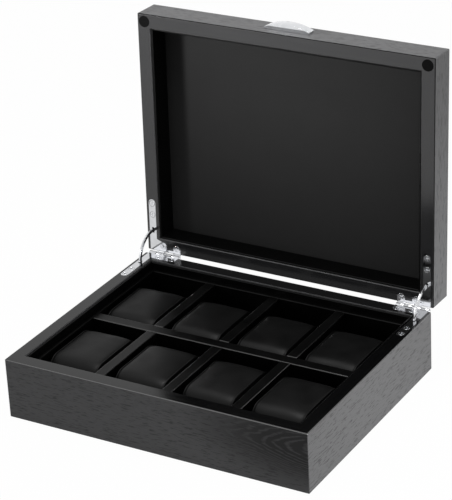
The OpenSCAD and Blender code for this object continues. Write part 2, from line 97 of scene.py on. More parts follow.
def new_material(name, **constants):
    """An empty material: its node tree, its shader with these constants, and the place on the piece."""
    material = bpy.data.materials.new(name)
    material.use_nodes = True
    tree = material.node_tree
    shader = tree.nodes["Principled BSDF"]
    for key, value in constants.items():
        shader.inputs[key.replace("_", " ").title().replace("Ior", "IOR")].default_value = value
    return material, tree, shader, add(tree, "TexCoord").outputs["Object"]


def grains(length, width):
    """The scale of a pattern whose grains have this length on X and this width across it."""
    return 1 / length, 1 / width, 1 / width


def black_oak(name, turn, heart, stain="#505051"):
    """Oak veneer, stained black, under satin lacquer: a soft sheen over a charcoal ground with open
    pores. turn brings the grain onto X. Round heart, a point of the face, the year rings are cut at a
    flat angle: they close to fine light flames, and round it the ground is darkened as painted shade."""
    material, tree, shader, place = new_material(name, roughness=0.34, ior=1.27)
    grain = add(tree, "Mapping", {"Vector": place, "Rotation": turn}).outputs["Vector"]
    start = -(Euler(turn).to_matrix() @ Vector(heart))
    field = add(tree, "Mapping", {"Vector": grain, "Location": start}).outputs["Vector"]
    # Pores about 7 mm long. Real ones are 0.3 mm wide, drawn 0.8 mm wide so that they show
    stretched = add(tree, "Mapping", {"Vector": grain, "Scale": grains(7 * MM, 0.8 * MM)})
    pores = add(tree, "TexNoise", {"Vector": stretched.outputs["Vector"], "Scale": 1.0, "Detail": 3.0})
    open_pore = add(
        tree, "MapRange", {"Value": pores.outputs["Fac"], "From Min": 0.54, "From Max": 0.66}
    ).outputs["Result"]
    apart = add(tree, "SeparateXYZ", {"Vector": field})
    behind = add(tree, "Math", {0: apart.outputs["Y"], 1: PITH_DEPTH}, operation="ADD")
    across = add(tree, "CombineXYZ", {"X": behind.outputs[0], "Y": apart.outputs["Z"]})
    radius = add(tree, "VectorMath", {0: across.outputs[0]}, operation="LENGTH").outputs["Value"]
    bent = add(tree, "Mapping", {"Vector": grain, "Scale": grains(60 * MM, 18 * MM)})
    waver = add(tree, "TexNoise", {"Vector": bent.outputs["Vector"], "Scale": 1.0, "Detail": 5.0})
    leant = add(
        tree, "Math", {0: apart.outputs["X"], 1: -PITH_SLOPE, 2: radius}, operation="MULTIPLY_ADD"
    )
    wavy = add(
        tree,
        "Math",
        {0: waver.outputs["Fac"], 1: RING_WAVER, 2: leant.outputs[0]},
        operation="MULTIPLY_ADD",
    )
    phase = add(tree, "Math", {0: wavy.outputs[0], 1: math.tau / RING}, operation="MULTIPLY")
    swing = add(tree, "Math", {0: phase.outputs[0]}, operation="SINE")
    late_wood = add(
        tree, "MapRange", {"Value": swing.outputs[0], "From Min": 0.0, "From Max": 1.0}
    ).outputs["Result"]
    near = add(tree, "Mapping", {"Vector": field, "Scale": [1 / size for size in FLAME_AND_SHADE_REACH]})
    far = add(tree, "VectorMath", {0: near.outputs["Vector"]}, operation="LENGTH").outputs["Value"]
    flame_and_shade = add(
        tree,
        "MapRange",
        {"Value": far, "From Min": 0.95, "From Max": 0.25},
        interpolation_type="SMOOTHSTEP",
    ).outputs["Result"]
    # Round the heart the ground is darkened from the stain to near black: painted shade
    ground = add(
        tree, "Mix", {"Factor": flame_and_shade, 6: linear(stain), 7: linear("#0b0b0c")}, data_type="RGBA"
    ).outputs[2]
    # The rings show a little on the plain ground and three times as much in the flames
    strength = add(tree, "Math", {0: flame_and_shade, 1: 0.45, 2: 0.2}, operation="MULTIPLY_ADD")
    whole = add(tree, "Math", {0: 1.0, 1: open_pore}, operation="SUBTRACT")
    broken = add(tree, "Math", {0: late_wood, 1: whole.outputs[0]}, operation="MULTIPLY")
    drawn = add(tree, "Math", {0: broken.outputs[0], 1: strength.outputs[0]}, operation="MULTIPLY")
    ringed = add(
        tree, "Mix", {"Factor": drawn.outputs[0], 6: ground, 7: linear("#404041")}, data_type="RGBA"
    ).outputs[2]
    # The lacquer fills the pores in part, so they aren't quite black
    depth = add(tree, "Math", {0: open_pore, 1: 0.6}, operation="MULTIPLY")
    colour = add(
        tree, "Mix", {"Factor": depth.outputs[0], 6: ringed, 7: linear("#121213")}, data_type="RGBA"
    ).outputs[2]
    tree.links.new(colour, shader.inputs["Base Color"])
    gloss = add(tree, "MapRange", {"Value": open_pore, "To Min": 0.32, "To Max": 0.5})
    tree.links.new(gloss.outputs["Result"], shader.inputs["Roughness"])
    bump = add(
        tree, "Bump", {"Height": open_pore, "Distance": 0.02 * MM, "Strength": 1.0}, invert=True
    )
    tree.links.new(bump.outputs["Normal"], shader.inputs["Normal"])
    return material


def black_edging(name, turn, ior, ground, streak_tone):
    """Edging strip of close-grained wood, lacquered black and rubbed down: darker and smoother than
    the faces, with faint streaks along it. turn brings its length onto X."""
    material, tree, shader, place = new_material(name, roughness=0.16, ior=ior)
    along = add(tree, "Mapping", {"Vector": place, "Rotation": turn}).outputs["Vector"]
    drawn = add(tree, "Mapping", {"Vector": along, "Scale": grains(40 * MM, 1.5 * MM)})
    streak = add(tree, "TexNoise", {"Vector": drawn.outputs["Vector"], "Scale": 1.0, "Detail": 3.0})
    colour = add(
        tree,
        "Mix",
        {"Factor": streak.outputs["Fac"], 6: linear(ground), 7: linear(streak_tone)},
        data_type="RGBA",
    )
    tree.links.new(colour.outputs[2], shader.inputs["Base Color"])
    gloss = add(
        tree,
        "MapRange",
        {"Value": streak.outputs["Fac"], "From Min": 0.3, "From Max": 0.7, "To Min": 0.13, "To Max": 0.2},
    )
    tree.links.new(gloss.outputs["Result"], shader.inputs["Roughness"])
    bump = add(tree, "Bump", {"Height": streak.outputs["Fac"], "Distance": 0.004 * MM})
    tree.links.new(bump.outputs["Normal"], shader.inputs["Normal"])
    return material


def rounded_block(low, high, radius):
    """A block with every edge and corner rounded, as an object that isn't shown."""
    mesh = bpy.data.meshes.new("rounded_block")
    shape = bmesh.new()
    bmesh.ops.create_cube(shape, size=1)
    for v in shape.verts:
        v.co = [a if c < 0 else b for a, b, c in zip(low, high, v.co)]
    bmesh.ops.bevel(
        shape, geom=shape.edges[:], offset=radius, segments=4, profile=0.5, affect="EDGES"
    )
    shape.to_mesh(mesh)
    shape.free()
    block = bpy.data.objects.new("rounded_block", mesh)
    scene.collection.objects.link(block)
    return block


def apply_modifiers(piece):
    """Turns what the piece's modifiers make of it into its own mesh."""
    shown = piece.evaluated_get(bpy.context.evaluated_depsgraph_get())
    mesh = bpy.data.meshes.new_from_object(shown)
    piece.modifiers.clear()
    piece.data = mesh


def veneered(node, body, block, rim, material, edging=None, opening=None, line=None):
    """Makes a wall or rail: the CAD piece with the rim's inner edge eased and its outside trimmed to
    the rounded block. edging covers the rim, and line its rounded outer edge: a painted highlight on
    the base and a painted dark line on the lid. opening turns a rail of the shut lid up to where it stands."""
    mesh = cad[node].data.copy()
    piece = bpy.data.objects.new("veneered_" + node, mesh)
    scene.collection.objects.link(piece)
    if opening:
        mesh.transform(opening.inverted())
    shape = bmesh.new()
    shape.from_mesh(mesh)
    bmesh.ops.remove_doubles(shape, verts=shape.verts, dist=TINY)
    bmesh.ops.dissolve_limit(shape, angle_limit=FLAT_TURN, verts=shape.verts, edges=shape.edges)
    inner_x, inner_y = CASE_W / 2 - WALL_T, CASE_D / 2 - WALL_T

    def on_inner_line(edge):
        a, b = (v.co for v in edge.verts)
        level = abs(a.z - rim) < TINY and abs(b.z - rim) < TINY
        along_x = all(abs(abs(p.y) - inner_y) < TINY for p in (a, b)) and abs(a.y - b.y) < TINY
        along_y = all(abs(abs(p.x) - inner_x) < TINY for p in (a, b)) and abs(a.x - b.x) < TINY
        return level and (along_x or along_y)

    inner = [e for e in shape.edges if on_inner_line(e)]
    bmesh.ops.bevel(shape, geom=inner, offset=INNER_ROUND, segments=3, profile=0.5, affect="EDGES")
    shape.to_mesh(mesh)
    shape.free()
    trim = piece.modifiers.new("trim", "BOOLEAN")
    trim.operation = "INTERSECT"
    trim.solver = "EXACT"
    trim.object = block
    apply_modifiers(piece)
    piece.data.materials.clear()
    piece.data.materials.append(material)
    if edging:
        piece.data.materials.append(edging)
        piece.data.materials.append(line or material)
        for face in piece.data.polygons:
            spot = face.center
            if abs(spot.z - rim) < OUTER_ROUND:
                outside = min(CASE_W / 2 - abs(spot.x), CASE_D / 2 - abs(spot.y)) < OUTER_ROUND
                if abs(face.normal.z) > (LEVEL_OUTSIDE if outside else LEVEL_INSIDE):
                    face.material_index = 1
                elif outside:
                    face.material_index = 2
    if opening:
        piece.data.transform(opening)
    piece.data.shade_smooth()
    piece.data.set_sharp_from_angle(angle=SHARP_TURN)
    piece.modifiers.new("flat_faces", "WEIGHTED_NORMAL").keep_sharp = True
    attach(piece, body)
    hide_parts(node)


wall_low, wall_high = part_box("base_front_wall")
case_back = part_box("base_back_wall")[1].y
CASE_W = wall_high.x - wall_low.x
CASE_D = case_back - wall_low.y
WALL_T = wall_high.y - wall_low.y
RIM = wall_high.z

case_block = rounded_block(
    (-CASE_W / 2 - TINY, -CASE_D / 2 - TINY, wall_low.z - TINY),
    (CASE_W / 2 + TINY, CASE_D / 2 + TINY, RIM + TINY),
    OUTER_ROUND,
)
ALONG_X, ALONG_Y = (0, 0, 0), (0, 0, math.radians(-90))
edging_x = black_edging("black_lacquered_edging", ALONG_X, 1.36, "#020202", "#060607")
edging_y = black_edging("black_lacquered_edging_side", ALONG_Y, 1.36, "#020202", "#060607")
# A lighter, more reflective edging on the rounded outer edge: a painted highlight drawn as a fine line
painted_highlight_edging = black_edging("black_edging_painted_highlight_line", ALONG_X, 1.9, "#0a0a0a", "#141415")
for node, turn, heart, edging in (
    # The front wall's heart lies near the top of its right end, and painted shade darkens the wall there
    ("base_front_wall", ALONG_X, (0.16, -CASE_D / 2, 0.045), edging_x),
    ("base_back_wall", ALONG_X, (OUT_OF_REACH, CASE_D / 2, 0.02), edging_x),
    ("base_left_wall", ALONG_Y, (-CASE_W / 2, OUT_OF_REACH, 0.03), edging_y),
    ("base_right_wall", ALONG_Y, (CASE_W / 2, OUT_OF_REACH, 0.03), edging_y),
):
    oak = black_oak("black_oak_veneer_" + node, turn, heart)
    veneered(node, "base", case_block, RIM, oak, edging, line=painted_highlight_edging)
bpy.data.objects.remove(case_block)

# ---- Bottom panel and felt ----
# A thin stained plywood panel lies in a rebate under the walls, and a sheet of pressed wool felt is
# glued under it, so that the box doesn't scratch what it stands on.
BOARD_ROUND = 0.2 * MM
FELT_STEP = 4 * MM
# The felt's cut edge wanders by up to this share of its half width, this many times per metre
FRAY = 0.0012
FRAYS = 150


def stained_plywood(name):
    """Plywood with a thin black stain: matt, with the long grain of its face sheet."""
    material, tree, shader, place = new_material(name, ior=1.5)
    long_grain = add(tree, "Mapping", {"Vector": place, "Scale": grains(40 * MM, 1.5 * MM)})
    fibres = add(tree, "TexNoise", {"Vector": long_grain.outputs["Vector"], "Scale": 1.0, "Detail": 4.0})
    colour = add(
        tree,
        "Mix",
        {"Factor": fibres.outputs["Fac"], 6: linear("#1a1816"), 7: linear("#383330")},
        data_type="RGBA",
    )
    tree.links.new(colour.outputs[2], shader.inputs["Base Color"])
    gloss = add(
        tree,
        "MapRange",
        {"Value": fibres.outputs["Fac"], "From Min": 0.2, "From Max": 0.8, "To Min": 0.55, "To Max": 0.75},
    )
    tree.links.new(gloss.outputs["Result"], shader.inputs["Roughness"])
    bump = add(tree, "Bump", {"Height": fibres.outputs["Fac"], "Distance": 0.06 * MM})
    tree.links.new(bump.outputs["Normal"], shader.inputs["Normal"])
    return material


def wool_felt(name):
    """Pressed wool: no gloss at all, and a haze of fibres about 0.8 mm across in tufts."""
    material, tree, shader, place = new_material(
        name, roughness=0.95, sheen_weight=0.4, sheen_roughness=0.6
    )
    tufts = add(tree, "TexNoise", {"Vector": place, "Scale": 1 / (0.8 * MM), "Detail": 5.0})
    colour = add(
        tree,
        "Mix",
        {"Factor": tufts.outputs["Fac"], 6: linear("#0b0b0c"), 7: linear("#2a2a2c")},
        data_type="RGBA",
    )
    tree.links.new(colour.outputs[2], shader.inputs["Base Color"])
    bump = add(tree, "Bump", {"Height": tufts.outputs["Fac"], "Distance": 0.25 * MM})
    tree.links.new(bump.outputs["Normal"], shader.inputs["Normal"])
    return material


def eased(node, material, width, turn=SHARP_TURN, line=None):
    """Finishes a CAD piece on its own mesh. Modifiers round the edges that turn by more than the
    angle given, and line covers these rounded edges: a painted highlight on the dividers and painted
    shade on the hinge leaves."""
    part = cad[node]
    part.modifiers.new("joined_faces", "WELD").merge_threshold = TINY
    flats = part.modifiers.new("whole_faces", "DECIMATE")
    flats.decimate_type = "DISSOLVE"
    flats.angle_limit = FLAT_TURN
    edges = part.modifiers.new("eased_edges", "BEVEL")
    edges.width = width
    edges.segments = 3
    edges.limit_method = "ANGLE"
    edges.angle_limit = turn
    edges.harden_normals = True
    part.data.materials.clear()
    part.data.materials.append(material)
    if line:
        part.data.materials.append(line)
        edges.material = 1


plywood = stained_plywood("black_stained_plywood")
eased("base_bottom_panel", plywood, BOARD_ROUND)
eased("lid_panel", plywood, BOARD_ROUND)

felt_low, felt_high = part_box("base_felt")
felt_mesh = bpy.data.meshes.new("felt_sheet")
felt_shape = bmesh.new()
felt_w, felt_d = felt_high.x - felt_low.x, felt_high.y - felt_low.y
bmesh.ops.create_grid(
    felt_shape, x_segments=round(felt_w / FELT_STEP), y_segments=round(felt_d / FELT_STEP), size=0.5
)
for v in felt_shape.verts:
    v.co = (v.co.x * felt_w, v.co.y * felt_d, felt_high.z)
    if v.is_boundary:
        v.co.xy *= 1 - FRAY * abs(noise.noise(v.co * FRAYS))
felt_shape.to_mesh(felt_mesh)
felt_shape.free()
felt = bpy.data.objects.new("felt_sheet", felt_mesh)
scene.collection.objects.link(felt)
felt_depth = felt.modifiers.new("thickness", "SOLIDIFY")
felt_depth.thickness = felt_high.z - felt_low.z
felt_depth.offset = -1
felt.data.materials.append(wool_felt("black_wool_felt"))
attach(felt, "base")
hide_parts("base_felt")

# ---- Lining and tray ----
# Thin boards wrapped in black leatherette. Four line the walls, four more stand inside them as the
# tray's frame, and a long divider is half-lapped over three cross dividers.
WRAP_ROUND = 0.8 * MM


def leatherette(name, ground, crest, gloss, pebble, ior):
    """Embossed polyurethane on cloth: satin, with a pebble grain of the size given, and a little
    more or less glossy in patches about 18 mm wide."""
    material, tree, shader, place = new_material(name, roughness=gloss, ior=ior)
    cells = add(tree, "TexVoronoi", {"Vector": place, "Scale": 1 / pebble, "Randomness": 1.0})
    soft = add(tree, "TexNoise", {"Vector": place, "Scale": 1 / (18 * MM), "Detail": 2.0})
    colour = add(
        tree,
        "Mix",
        {"Factor": cells.outputs["Distance"], 6: linear(crest), 7: linear(ground)},
        data_type="RGBA",
    )
    tree.links.new(colour.outputs[2], shader.inputs["Base Color"])
    rub = add(
        tree,
        "MapRange",
        {
            "Value": soft.outputs["Fac"],
            "From Min": 0.3,
            "From Max": 0.7,
            "To Min": gloss - 0.05,
            "To Max": gloss + 0.06,
        },
    )
    tree.links.new(rub.outputs["Result"], shader.inputs["Roughness"])
    bump = add(
        tree,
        "Bump",
        {"Height": cells.outputs["Distance"], "Distance": 0.025 * MM, "Strength": 0.7},
        invert=True,
    )
    tree.links.new(bump.outputs["Normal"], shader.inputs["Normal"])
    return material


wrapped = leatherette("black_grained_leatherette", "#020202", "#060606", 0.32, 1.3 * MM, 1.2)
# A lighter, more reflective leatherette on the dividers' rounded edges: a painted highlight drawn as a fine
# line
painted_highlight_leatherette = leatherette("black_leatherette_painted_edge_line", "#040404", "#090909", 0.26, 1.3 * MM, 1.6)
for node in (
    "floor_lining",
    "base_lining_front",
    "base_lining_back",
    "base_lining_left",
    "base_lining_right",
    "tray_board_front",
    "tray_board_back",
    "tray_board_left",
    "tray_board_right",
    "long_divider",
    "cross_divider_left",
    "cross_divider_middle",
    "cross_divider_right",
):
    eased(node, wrapped, WRAP_ROUND, line=painted_highlight_leatherette if "divider" in node else None)

# ---- Cushions ----
# Eight watch cushions, each a foam core in smooth soft leatherette: one band goes round it, and an
# end panel is sewn in at each side with a thin piped seam. The cloth is pulled tight over the foam.
# Points: the rings between the seams, the points of a ring and the steps of a corner's arc
RINGS = 16
ROUND_POINTS = 56
ARC_STEPS = 12
# Form: the corners' radii, the fall and the draw towards the seams, the bow of the top and bottom,
# and the end panels' swell, with their rings as shares of the seam
TOP_R = 12 * MM
BOTTOM_R = 8 * MM
CROWN = 1.8 * MM
DRAW = 1.6 * MM
ARCH = 1.5 * MM
PIPING_R = 0.6 * MM
SWELL = 1.5 * MM
END_SHARES = (0.93, 0.83, 0.7, 0.56, 0.42, 0.28, 0.14)
END_CURVE = 2.2
# Slow waves, away from the seams, that differ from cushion to cushion
WOBBLE = 0.25 * MM
WOBBLES = 45
WOBBLE_SHIFT = 40
SEAM_ROOM = 0.5 * MM
# Cloth: it starts a little slim between the seams, and pressure, which differs too, blows it out
SLACK = 0.02
CLOTH_STEPS = 20
PRESSURE = 4.0
PRESSURE_STEP = 0.25
STRETCH = 0.006
STIFFNESS = 4.0
# The moves are evened out this many times, and these are the longest move and the crown's rise
EVENED = 12
COVER_MOVE = 1.4 * MM
CROWN_ROOM = 0.6 * MM


def section(t, size):
    """Evenly spaced points round the cushion at t, from -1 at the left seam to 1 at the right one."""
    # The cover falls gently over most of its width and quickly at the seams
    fall = (t * t + 2 * abs(t) ** 5) / 3
    half, top = size.y / 2 - DRAW * fall, size.z - CROWN * fall
    path = []
    for y, z, r, start in (
        (half - TOP_R, top - TOP_R, TOP_R, 0),
        (TOP_R - half, top - TOP_R, TOP_R, 90),
        (BOTTOM_R - half, BOTTOM_R, BOTTOM_R, 180),
        (half - BOTTOM_R, BOTTOM_R, BOTTOM_R, 270),
    ):
        for k in range(ARC_STEPS + 1):
            a = math.radians(start + 90 * k / ARC_STEPS)
            point = Vector((y + r * math.cos(a), z + r * math.sin(a)))
            point.y -= ARCH * (point.x / half) ** 2 * point.y / top
            path.append(point)
    steps = [(path[i - 1] - p).length for i, p in enumerate(path)]
    whole, points, walked, i = sum(steps), [], 0.0, 0
    for k in range(ROUND_POINTS):
        aim = whole * k / ROUND_POINTS
        while walked + steps[i] < aim:
            walked += steps[i]
            i += 1
        share = (aim - walked) / steps[i]
        points.append(path[i - 1].lerp(path[i], share))
    return points


def cushion_piece(node, seed):
    """The cover before it is blown up: rings from the left end panel's middle to the right one's."""
    low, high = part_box(node)
    size, middle = high - low, (low + high) / 2
    seam_x = size.x / 2 - SWELL
    rings = []
    for side in (-1, 1):
        seam = section(side, size)
        ends = []
        for s in END_SHARES:
            x = side * (seam_x + SWELL * (1 - s**END_CURVE))
            ends.append([Vector((x, p.x * s, size.z / 2 + (p.y - size.z / 2) * s)) for p in seam])
        if side < 0:
            rings += ends[::-1]
            for k in range(RINGS + 1):
                t = 2 * k / RINGS - 1
                slack = 1 - SLACK * (1 - t * t)
                rings.append([Vector((t * seam_x, p.x * slack, p.y * slack)) for p in section(t, size)])
        else:
            rings += ends
    mesh = bpy.data.meshes.new("cover_" + node)
    shape = bmesh.new()
    base = Vector((middle.x, middle.y, low.z))
    rows = [[shape.verts.new(p + base) for p in ring] for ring in rings]
    for a, b in zip(rows, rows[1:]):
        for i in range(ROUND_POINTS):
            j = (i + 1) % ROUND_POINTS
            shape.faces.new((a[i], a[j], b[j], b[i]))
    shape.faces.new(rows[0][::-1])
    shape.faces.new(rows[-1])
    bmesh.ops.poke(shape, faces=[f for f in shape.faces if len(f.verts) > 4])
    bmesh.ops.recalc_face_normals(shape, faces=shape.faces)
    shape.to_mesh(mesh)
    shape.free()
    mesh.shade_smooth()
    piece = bpy.data.objects.new("cushion_cover_" + node, mesh)
    scene.collection.objects.link(piece)
    seams = piece.vertex_groups.new(name="seams")
    first = len(END_SHARES)
    for row in (first, first + RINGS):
        seams.add(list(range(row * ROUND_POINTS, (row + 1) * ROUND_POINTS)), 1.0, "REPLACE")
    wobble = random.Random(seed)
    shift = Vector([wobble.uniform(-WOBBLE_SHIFT, WOBBLE_SHIFT) for _ in range(3)])
    for v in mesh.vertices:
        if abs(abs(v.co.x - middle.x) - seam_x) > SEAM_ROOM:
            wave = WOBBLE * noise.noise((v.co + shift) * WOBBLES)
            v.co.z += wave * (v.co.z - low.z) / size.z
    return piece


def blown_up(covers):
    """Cloth simulation: the foam presses each cover out between its sewn seams. The moves are evened
    out, because the cloth lies on foam, and capped, and each point stays in the cushion's own room."""
    starts = []
    for k, cover in enumerate(covers):
        starts.append([v.co.copy() for v in cover.data.vertices])
        cloth = cover.modifiers.new("cover", "CLOTH")
        cloth.settings.use_pressure = True
        cloth.settings.uniform_pressure_force = PRESSURE + PRESSURE_STEP * (k % 3)
        cloth.settings.effector_weights.gravity = 0
        cloth.settings.vertex_group_mass = "seams"
        cloth.settings.shrink_min = -STRETCH
        cloth.settings.bending_stiffness = STIFFNESS
        cloth.collision_settings.use_collision = False
        cloth.point_cache.frame_end = CLOTH_STEPS
    for step in range(1, CLOTH_STEPS + 1):
        scene.frame_set(step)
    for node, cover, start in zip(cushion_nodes, covers, starts):
        low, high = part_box(node)
        apply_modifiers(cover)
        moves = [v.co - p for v, p in zip(cover.data.vertices, start)]
        near = [[i] for i in range(len(moves))]
        for edge in cover.data.edges:
            a, b = edge.vertices
            near[a].append(b)
            near[b].append(a)
        for _ in range(EVENED):
            moves = [sum((moves[j] for j in group), Vector()) / len(group) for group in near]
        for v, p, moved in zip(cover.data.vertices, start, moves):
            if moved.length > COVER_MOVE:
                moved *= COVER_MOVE / moved.length
            rise = max(p.z + moved.z - high.z, 0)
            v.co = [min(max(c, a), b) for c, a, b in zip(p + moved, low, high)]
            v.co.z += CROWN_ROOM * math.tanh(rise / CROWN_ROOM)
    scene.frame_set(1)


def piping(node, cover):
    """The piped seam round each end of a cushion, which follows the seam's own points."""
    curve = bpy.data.curves.new("piping_" + node, "CURVE")
    curve.dimensions = "3D"
    curve.bevel_depth = PIPING_R
    curve.bevel_resolution = 3
    first = len(END_SHARES)
    for row in (first, first + RINGS):
        line = curve.splines.new("POLY")
        line.points.add(ROUND_POINTS - 1)
        line.use_cyclic_u = True
        for i in range(ROUND_POINTS):
            line.points[i].co = (*cover.data.vertices[row * ROUND_POINTS + i].co, 1)
    seam = bpy.data.objects.new("cushion_piping_" + node, curve)
    scene.collection.objects.link(seam)
    return seam


soft_cover = leatherette("smooth_black_leatherette", "#020202", "#060606", 0.46, 0.9 * MM, 1.24)
cushion_nodes = [f"cushion_{row}_{i}" for row in ("front", "rear") for i in (1, 2, 3, 4)]
covers = [cushion_piece(node, seed) for seed, node in enumerate(cushion_nodes)]
blown_up(covers)
for node, cover in zip(cushion_nodes, covers):
    seam = piping(node, cover)
    cover.modifiers.new("smooth_cover", "SUBSURF").levels = 1
    cover.modifiers["smooth_cover"].render_levels = 1
    for piece in (cover, seam):
        piece.data.materials.append(soft_cover)
        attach(piece, node)
    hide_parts(node)

# ---- Lid ----
# Four mitred rails and a panel let in from above, with one sheet of the same veneer over the top.
# They are stained and lacquered as the base is, and stand at the hinge's open angle.
hinge = next(j for j in frame["joints"] if j["name"] == "lid_hinge")
open_angle = math.radians(-hinge["range_deg"][0])
pin = Vector(hinge["pos_m"])
opening = Matrix.Translation(pin) @ Matrix.Rotation(-open_angle, 4, "X") @ Matrix.Translation(-pin)


def shut_box(node):
    """The lowest and highest corners of a piece of the lid when the lid is shut."""
    points = [opening.inverted() @ v.co for v in cad[node].data.vertices]
    return (
        Vector([min(p[i] for p in points) for i in range(3)]),
        Vector([max(p[i] for p in points) for i in range(3)]),
    )


lid_rim = shut_box("lid_front_rail")[0].z
lid_top = shut_box("lid_veneer")[1].z
lid_block = rounded_block(
    (-CASE_W / 2 - TINY, -CASE_D / 2 - TINY, lid_rim - TINY),
    (CASE_W / 2 + TINY, CASE_D / 2 + TINY, lid_top + TINY),
    OUTER_ROUND,
)
upright_x = (open_angle, 0, 0)
upright_y = (open_angle, 0, math.radians(-90))
flat_x = (open_angle + math.radians(90), 0, 0)
# The lid's edging is a lighter, more reflective copy of the base's: painted light for the brighter rims of
# the open lid
painted_light_lid_edging_x = black_edging("black_lid_edging_painted_light", upright_x, 1.55, "#1b1b1c", "#242425")
painted_light_lid_edging_y = black_edging("black_lacquered_lid_edging_side", upright_y, 1.55, "#1b1b1c", "#242425")
# A darker edging that reflects little on the lid's rounded outer edge: painted shade drawn as a thin dark
# line
painted_shade_lid_edge = black_edging("black_veneer_edge_painted_dark_line", upright_x, 1.1, "#020202", "#050505")
for node, turn, heart, edging in (
    ("lid_front_rail", upright_x, (OUT_OF_REACH, -CASE_D / 2, lid_rim), painted_light_lid_edging_x),
    ("lid_back_rail", upright_x, (OUT_OF_REACH, CASE_D / 2, lid_rim), painted_light_lid_edging_x),
    ("lid_left_rail", upright_y, (-CASE_W / 2, OUT_OF_REACH, lid_rim), painted_light_lid_edging_y),
    ("lid_right_rail", upright_y, (CASE_W / 2, OUT_OF_REACH, lid_rim), painted_light_lid_edging_y),
    ("lid_veneer", flat_x, (OUT_OF_REACH, 0, lid_top), None),
):
    # The lid's veneer gets a lighter stain than the base's: painted light for the brighter sheen on the open
    # lid
    oak = black_oak("black_oak_veneer_" + node, turn, opening @ Vector(heart), "#565657")
    veneered(node, "lid", lid_block, lid_rim, oak, edging, opening, painted_shade_lid_edge if edging else None)
bpy.data.objects.remove(lid_block)

# ---- Lid lining and pad ----
# Four wrapped strips line the rails, and a board covered in suedette over thin foam closes the
# lid's inside between them.
PAD_STEP = 5 * MM
PAD_CROWN = 0.7 * MM
PAD_SHOULDER = 3 * MM
PAD_WAVE = 0.15 * MM
PAD_WAVES = 30


def suedette(name):
    """Brushed polyester suede: matt, slightly darker where the nap lies over, in clouds of 20 mm."""
    material, tree, shader, place = new_material(
        name, roughness=0.9, sheen_weight=0.05, sheen_roughness=0.5, ior=1.3
    )
    nap = add(tree, "TexNoise", {"Vector": place, "Scale": 1 / (20 * MM), "Detail": 3.0})
    pile = add(tree, "TexNoise", {"Vector": place, "Scale": 1 / (1.2 * MM), "Detail": 4.0})
    mixed = add(
        tree, "Math", {0: nap.outputs["Fac"], 1: 0.6, 2: pile.outputs["Fac"]}, operation="MULTIPLY_ADD"
    )
    colour = add(
        tree,
        "Mix",
        {"Factor": mixed.outputs[0], 6: linear("#0c0c0c"), 7: linear("#151515")},
        data_type="RGBA",
    )
    tree.links.new(colour.outputs[2], shader.inputs["Base Color"])
    bump = add(tree, "Bump", {"Height": pile.outputs["Fac"], "Distance": 0.1 * MM, "Strength": 0.6})
    tree.links.new(bump.outputs["Normal"], shader.inputs["Normal"])
    return material


for node in ("lid_lining_front", "lid_lining_back", "lid_lining_left", "lid_lining_right"):
    eased(node, wrapped, WRAP_ROUND)

pad_low, pad_high = shut_box("lid_pad")
strip_t = shut_box("lid_lining_left")[1].x - shut_box("lid_lining_left")[0].x
pad_mesh = bpy.data.meshes.new("lid_pad_cover")
pad_shape = bmesh.new()
pad_w, pad_d = pad_high.x - pad_low.x, pad_high.y - pad_low.y
bmesh.ops.create_grid(
    pad_shape, x_segments=round(pad_w / PAD_STEP), y_segments=round(pad_d / PAD_STEP), size=0.5
)
for v in pad_shape.verts:
    x, y = v.co.x * pad_w, v.co.y * pad_d
    inset = min(pad_w / 2 - abs(x), pad_d / 2 - abs(y)) - strip_t
    rise = PAD_CROWN * (1 - math.exp(-max(inset, 0) / PAD_SHOULDER))
    soft = PAD_WAVE * noise.noise(Vector((x, y, 0)) * PAD_WAVES) * (rise / PAD_CROWN)
    v.co = (x, y, pad_low.z - rise - soft)
sides = bmesh.ops.extrude_face_region(pad_shape, geom=pad_shape.faces[:])
for v in sides["geom"]:
    if isinstance(v, bmesh.types.BMVert):
        v.co.z = pad_high.z
bmesh.ops.recalc_face_normals(pad_shape, faces=pad_shape.faces)
pad_shape.to_mesh(pad_mesh)
pad_shape.free()
pad_mesh.transform(opening)
pad_mesh.shade_smooth()
pad_mesh.set_sharp_from_angle(angle=SHARP_TURN)
pad = bpy.data.objects.new("lid_pad_cover", pad_mesh)
scene.collection.objects.link(pad)
pad.data.materials.append(suedette("black_suedette"))
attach(pad, "lid")
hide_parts("lid_pad")

# ---- Bumpers ----
# Two discs of black rubber, moulded with a small round edge and pressed into shallow recesses in
# the lid's front corners, so that the lid doesn't knock on the base.
BUMPER_ROUND = 0.35 * MM


def moulded_rubber(name):
    """Black rubber from a spark-eroded mould: matt, with a bloom in soft patches about 2 mm wide."""
    material, tree, shader, place = new_material(name, ior=1.1)
    bloom = add(tree, "TexNoise", {"Vector": place, "Scale": 1 / (2 * MM), "Detail": 4.0})
    colour = add(
        tree,
        "Mix",
        {"Factor": bloom.outputs["Fac"], 6: linear("#030303"), 7: linear("#0a0a0a")},
        data_type="RGBA",
    )
    tree.links.new(colour.outputs[2], shader.inputs["Base Color"])
    gloss = add(
        tree,
        "MapRange",
        {"Value": bloom.outputs["Fac"], "From Min": 0.3, "From Max": 0.7, "To Min": 0.5, "To Max": 0.7},
    )
    tree.links.new(gloss.outputs["Result"], shader.inputs["Roughness"])
    bump = add(tree, "Bump", {"Height": bloom.outputs["Fac"], "Distance": 0.03 * MM})
    tree.links.new(bump.outputs["Normal"], shader.inputs["Normal"])
    return material


eased("lid_bumpers", moulded_rubber("black_moulded_rubber"), BUMPER_ROUND)

# ---- Lift tab ----
# A bowed bar of polished, chromium-plated zinc in the middle of the lid's front, on a thin foot that
# two studs hold from inside the rail.
TAB_ROUND = 0.4 * MM


